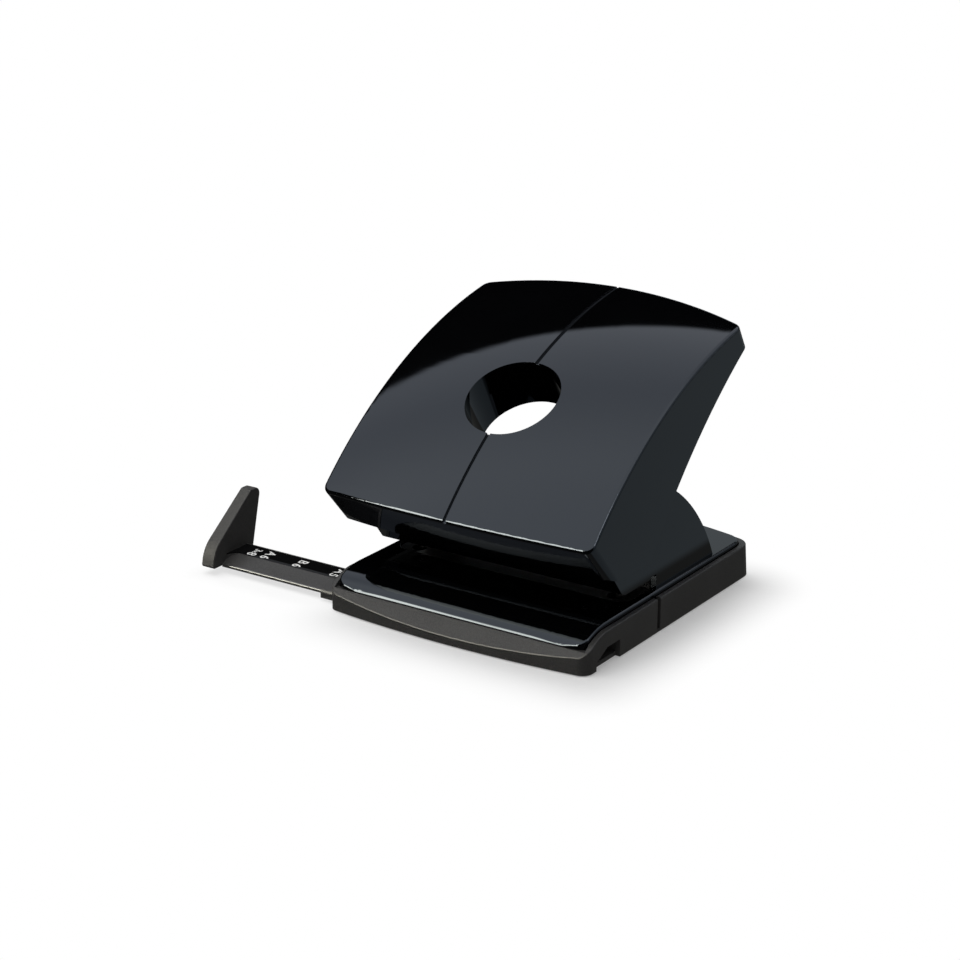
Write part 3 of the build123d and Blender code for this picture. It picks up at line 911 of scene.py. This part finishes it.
def beside(tree, low, high):
    """Distance on the floor from a rectangle with sides along X and Y, 0 inside it."""
    x, y, _ = own_place(tree)
    gaps = []
    for value, start, end in zip((x, y), low, high):
        offset = maths(tree, "SUBTRACT", value, (start + end) / 2)
        beyond = maths(tree, "SUBTRACT", maths(tree, "ABSOLUTE", offset), (end - start) / 2)
        gaps.append(maths(tree, "MAXIMUM", beyond, 0.0))
    return hypotenuse(tree, *gaps)


def clear_of_shadow(tree, stage):
    """0 under the base, a share under the guide, and 1 where the floor is beyond their shadows."""
    front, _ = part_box("chip_tray")
    low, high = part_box("rear_tray")
    left, back = stage.shadow_insets
    base = beside(tree, (low.x + left, front.y), (high.x, high.y - back))
    guide = beside(tree, *(corner.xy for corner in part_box("guide_rail")))
    off_base = ramp(tree, base, 0.0, stage.shadow_reach)
    off_guide = ramp(tree, guide, 0.0, stage.guide_shadow_reach)
    return maths(tree, "MINIMUM", off_base, spread(tree, off_guide, stage.guide_shadow_fade, 1.0))


def lit_floor(tree, stage, seen):
    """Matte floor with just the glow that makes it white where no shadow falls."""
    albedo = stage.floor_albedo
    lit = albedo * (stage.lamp_level + stage.fill_level)
    matte = put(tree, "ShaderNodeBsdfDiffuse", Color=(*scaled(white, share=albedo), 1.0))
    glow = put(tree, "ShaderNodeEmission", Color=(*white, 1.0))
    join(tree, maths(tree, "MULTIPLY", seen, 1.0 - lit), glow.inputs["Strength"])
    both = tree.nodes.new("ShaderNodeAddShader")
    for source, target in zip((matte.outputs["BSDF"], glow.outputs["Emission"]), both.inputs):
        join(tree, source, target)
    return both.outputs["Shader"]


def floor_material(stage):
    """Pale floor that takes the object's shadow and turns into the white of the background."""
    material, tree, surface = bare_material("pale_floor")
    seen = seen_rays(tree)
    background = put(tree, "ShaderNodeEmission", Color=(*white, 1.0))
    join(tree, seen, background.inputs["Strength"])
    fade = tree.nodes.new("ShaderNodeMixShader")
    sources = (clear_of_shadow(tree, stage), lit_floor(tree, stage, seen), background.outputs["Emission"])
    for source, target in zip(sources, fade.inputs):
        join(tree, source, target)
    join(tree, fade.outputs["Shader"], surface)
    return material


def slanted(tree, place, shares):
    """A sum of shares of X and Y, which measures across a slanting line."""
    parts = [maths(tree, "MULTIPLY", value, share) for value, share in zip(place, shares)]
    return maths(tree, "ADD", *parts)


def roof_colour(tree, place):
    """Colour of the hood's roof: a broad light, black beyond its slanting edge."""
    lit = ramp(tree, slanted(tree, place, roof_edge_slant), *roof_edge_step)
    behind = ramp(tree, slanted(tree, place, roof_fade_slant), *roof_fade_step)
    light = tint(tree, behind, roof_front_colour, roof_back_colour)
    return tint(tree, lit, black, light)


def painted_floor_reflection_colour(tree, place, distance):
    """Glow of the hood's bottom that the lower faces mirror in place of the floor, a painted reflection."""
    x, y = place
    behind_front = tint(tree, ramp(tree, x, *painted_floor_reflection_right_step), painted_floor_reflection_middle_colour, painted_floor_reflection_right_colour)
    near = tint(tree, ramp(tree, y, *painted_floor_reflection_front_step), painted_floor_reflection_front_colour, behind_front)
    return tint(tree, ramp(tree, distance, *painted_floor_reflection_far_step), near, painted_floor_reflection_far_colour)


def with_cards(tree, colour, heading, elevation):
    """A colour of the hood with the soft cards laid over it."""
    for *angles, card in hood_cards.values():
        left, right, low, high, soft = (math.radians(angle) for angle in angles)
        wide = window(tree, heading, left, right, soft)
        tall = window(tree, elevation, low, high, soft)
        colour = tint(tree, maths(tree, "MULTIPLY", wide, tall), colour, card)
    return colour


def hood_material(stage):
    """Dark studio hood with a broad light in its roof, soft cards on its walls and a grey bottom that glows
    as a painted floor reflection.
    """
    material, tree, surface = bare_material("studio_hood")
    x, y, height = own_place(tree)
    distance = hypotenuse(tree, x, y)
    heading = maths(tree, "ARCTAN2", x, y)
    elevation = maths(tree, "ARCTAN2", height, distance)
    is_roof = maths(tree, "GREATER_THAN", height, stage.lamp_place.z)
    # The bottom of the hood glows as a painted reflection of the floor, with painted shade in front.
    is_painted_floor_reflection = maths(tree, "LESS_THAN", height, 0.0)
    roofed = tint(tree, is_roof, black, roof_colour(tree, (x, y)))
    above = with_cards(tree, roofed, heading, elevation)
    glow = tree.nodes.new("ShaderNodeEmission")
    join(tree, tint(tree, is_painted_floor_reflection, above, painted_floor_reflection_colour(tree, (x, y), distance)), glow.inputs["Color"])
    join(tree, glow.outputs["Emission"], surface)
    return material


def only_mirrored(piece):
    """Shows a stage object in reflections alone."""
    piece.visible_camera = False
    piece.visible_diffuse = False
    piece.visible_shadow = False
    piece.visible_transmission = False
    piece.visible_volume_scatter = False


def add_floor(stage):
    """Round pale floor just under the object."""
    shape = bmesh.new()
    bmesh.ops.create_circle(shape, cap_ends=True, segments=round_sides, radius=stage.floor_radius)
    bmesh.ops.translate(shape, verts=shape.verts, vec=(0.0, 0.0, -floor_drop))
    piece = new_piece("floor", shape, floor_material(stage))
    piece.visible_diffuse = False


def add_hood(stage):
    """Closed round hood that the polished faces mirror."""
    top = stage.lamp_place.z + roof_rise
    radius = stage.hood_radius
    shape = bmesh.new()
    bmesh.ops.create_cone(
        shape,
        cap_ends=True,
        segments=round_sides,
        radius1=radius,
        radius2=radius,
        depth=top + painted_floor_reflection_drop,
    )
    bmesh.ops.translate(shape, verts=shape.verts, vec=(0.0, 0.0, (top - painted_floor_reflection_drop) / 2))
    bmesh.ops.reverse_faces(shape, faces=shape.faces)
    piece = new_piece("studio_hood", shape, hood_material(stage))
    only_mirrored(piece)


def add_lamp(stage):
    """Round overhead lamp that faces down; the hood's roof stands for it in reflections."""
    lamp = bpy.data.lights.new("overhead_lamp", "AREA")
    lamp.shape = "DISK"
    lamp.size = 2 * stage.lamp_radius
    place = Vector(stage.lamp_place)
    # The light weakens with the slant at the lamp and again at the floor.
    slant = place.z / place.length
    lamp.energy = stage.lamp_level * math.pi**2 * place.length_squared / slant**2
    holder = bpy.data.objects.new("overhead_lamp", lamp)
    holder.location = place
    holder.visible_glossy = False
    holder.visible_camera = False
    bpy.context.scene.collection.objects.link(holder)


def add_camera(stage):
    """Camera at the photograph's viewing angle."""
    data = bpy.data.cameras.new("camera")
    data.sensor_width = 36.0
    data.lens = stage.lens
    data.clip_start = 0.05
    holder = bpy.data.objects.new("camera", data)
    azimuth = stage.camera_azimuth
    elevation = stage.camera_elevation
    right = Vector((math.cos(azimuth), math.sin(azimuth), 0.0))
    back = Vector(
        (
            math.sin(azimuth) * math.cos(elevation),
            -math.cos(azimuth) * math.cos(elevation),
            math.sin(elevation),
        )
    )
    turned = Matrix((right, back.cross(right), back)).transposed()
    holder.matrix_world = Matrix.Translation(stage.camera_place) @ turned.to_4x4()
    bpy.context.scene.collection.objects.link(holder)
    bpy.context.scene.camera = holder


class PUNCH_OT_set_stage(bpy.types.Operator):
    """Set the floor, the lights, the world and the camera"""

    bl_idname = "punch.set_stage"
    bl_label = "Set the stage"

    def execute(self, context):
        stage = context.scene.punch_stage
        context.scene.view_settings.view_transform = "Standard"
        context.scene.world = light_world(stage)
        add_floor(stage)
        add_hood(stage)
        add_lamp(stage)
        add_camera(stage)
        return {"FINISHED"}


class PUNCH_PT_pieces(bpy.types.Panel):
    """Shows a button for each of the punch's steps in the sidebar"""

    bl_idname = "PUNCH_PT_pieces"
    bl_label = "Desk punch"
    bl_space_type = "VIEW_3D"
    bl_region_type = "UI"
    bl_category = "Punch"

    def draw(self, context):
        for operator in operators:
            self.layout.operator(operator.bl_idname)


operators = (
    PUNCH_OT_dress_shell,
    PUNCH_OT_dress_tray,
    PUNCH_OT_dress_steel,
    PUNCH_OT_coil_springs,
    PUNCH_OT_add_marks,
    PUNCH_OT_set_stage,
)
groups = {
    "punch_finishes": PunchFinishes,
    "punch_springs": PunchSprings,
    "punch_marks": PunchMarks,
    "punch_stage": PunchStage,
}


def register():
    """Registers the classes and gives the scene its properties."""
    for name, group in groups.items():
        bpy.utils.register_class(group)
        setattr(bpy.types.Scene, name, PointerProperty(type=group))
    for kind in (*operators, PUNCH_PT_pieces):
        bpy.utils.register_class(kind)


def unregister():
    """Takes the classes and the scene's properties away again."""
    for kind in (PUNCH_PT_pieces, *reversed(operators)):
        bpy.utils.unregister_class(kind)
    for name, group in groups.items():
        delattr(bpy.types.Scene, name)
        bpy.utils.unregister_class(group)


def main():
    """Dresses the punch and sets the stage."""
    register()
    bpy.ops.punch.dress_shell()
    bpy.ops.punch.dress_tray()
    bpy.ops.punch.dress_steel()
    bpy.ops.punch.coil_springs()
    bpy.ops.punch.add_marks()
    bpy.ops.punch.set_stage()


if __name__ == "__main__":
    main()
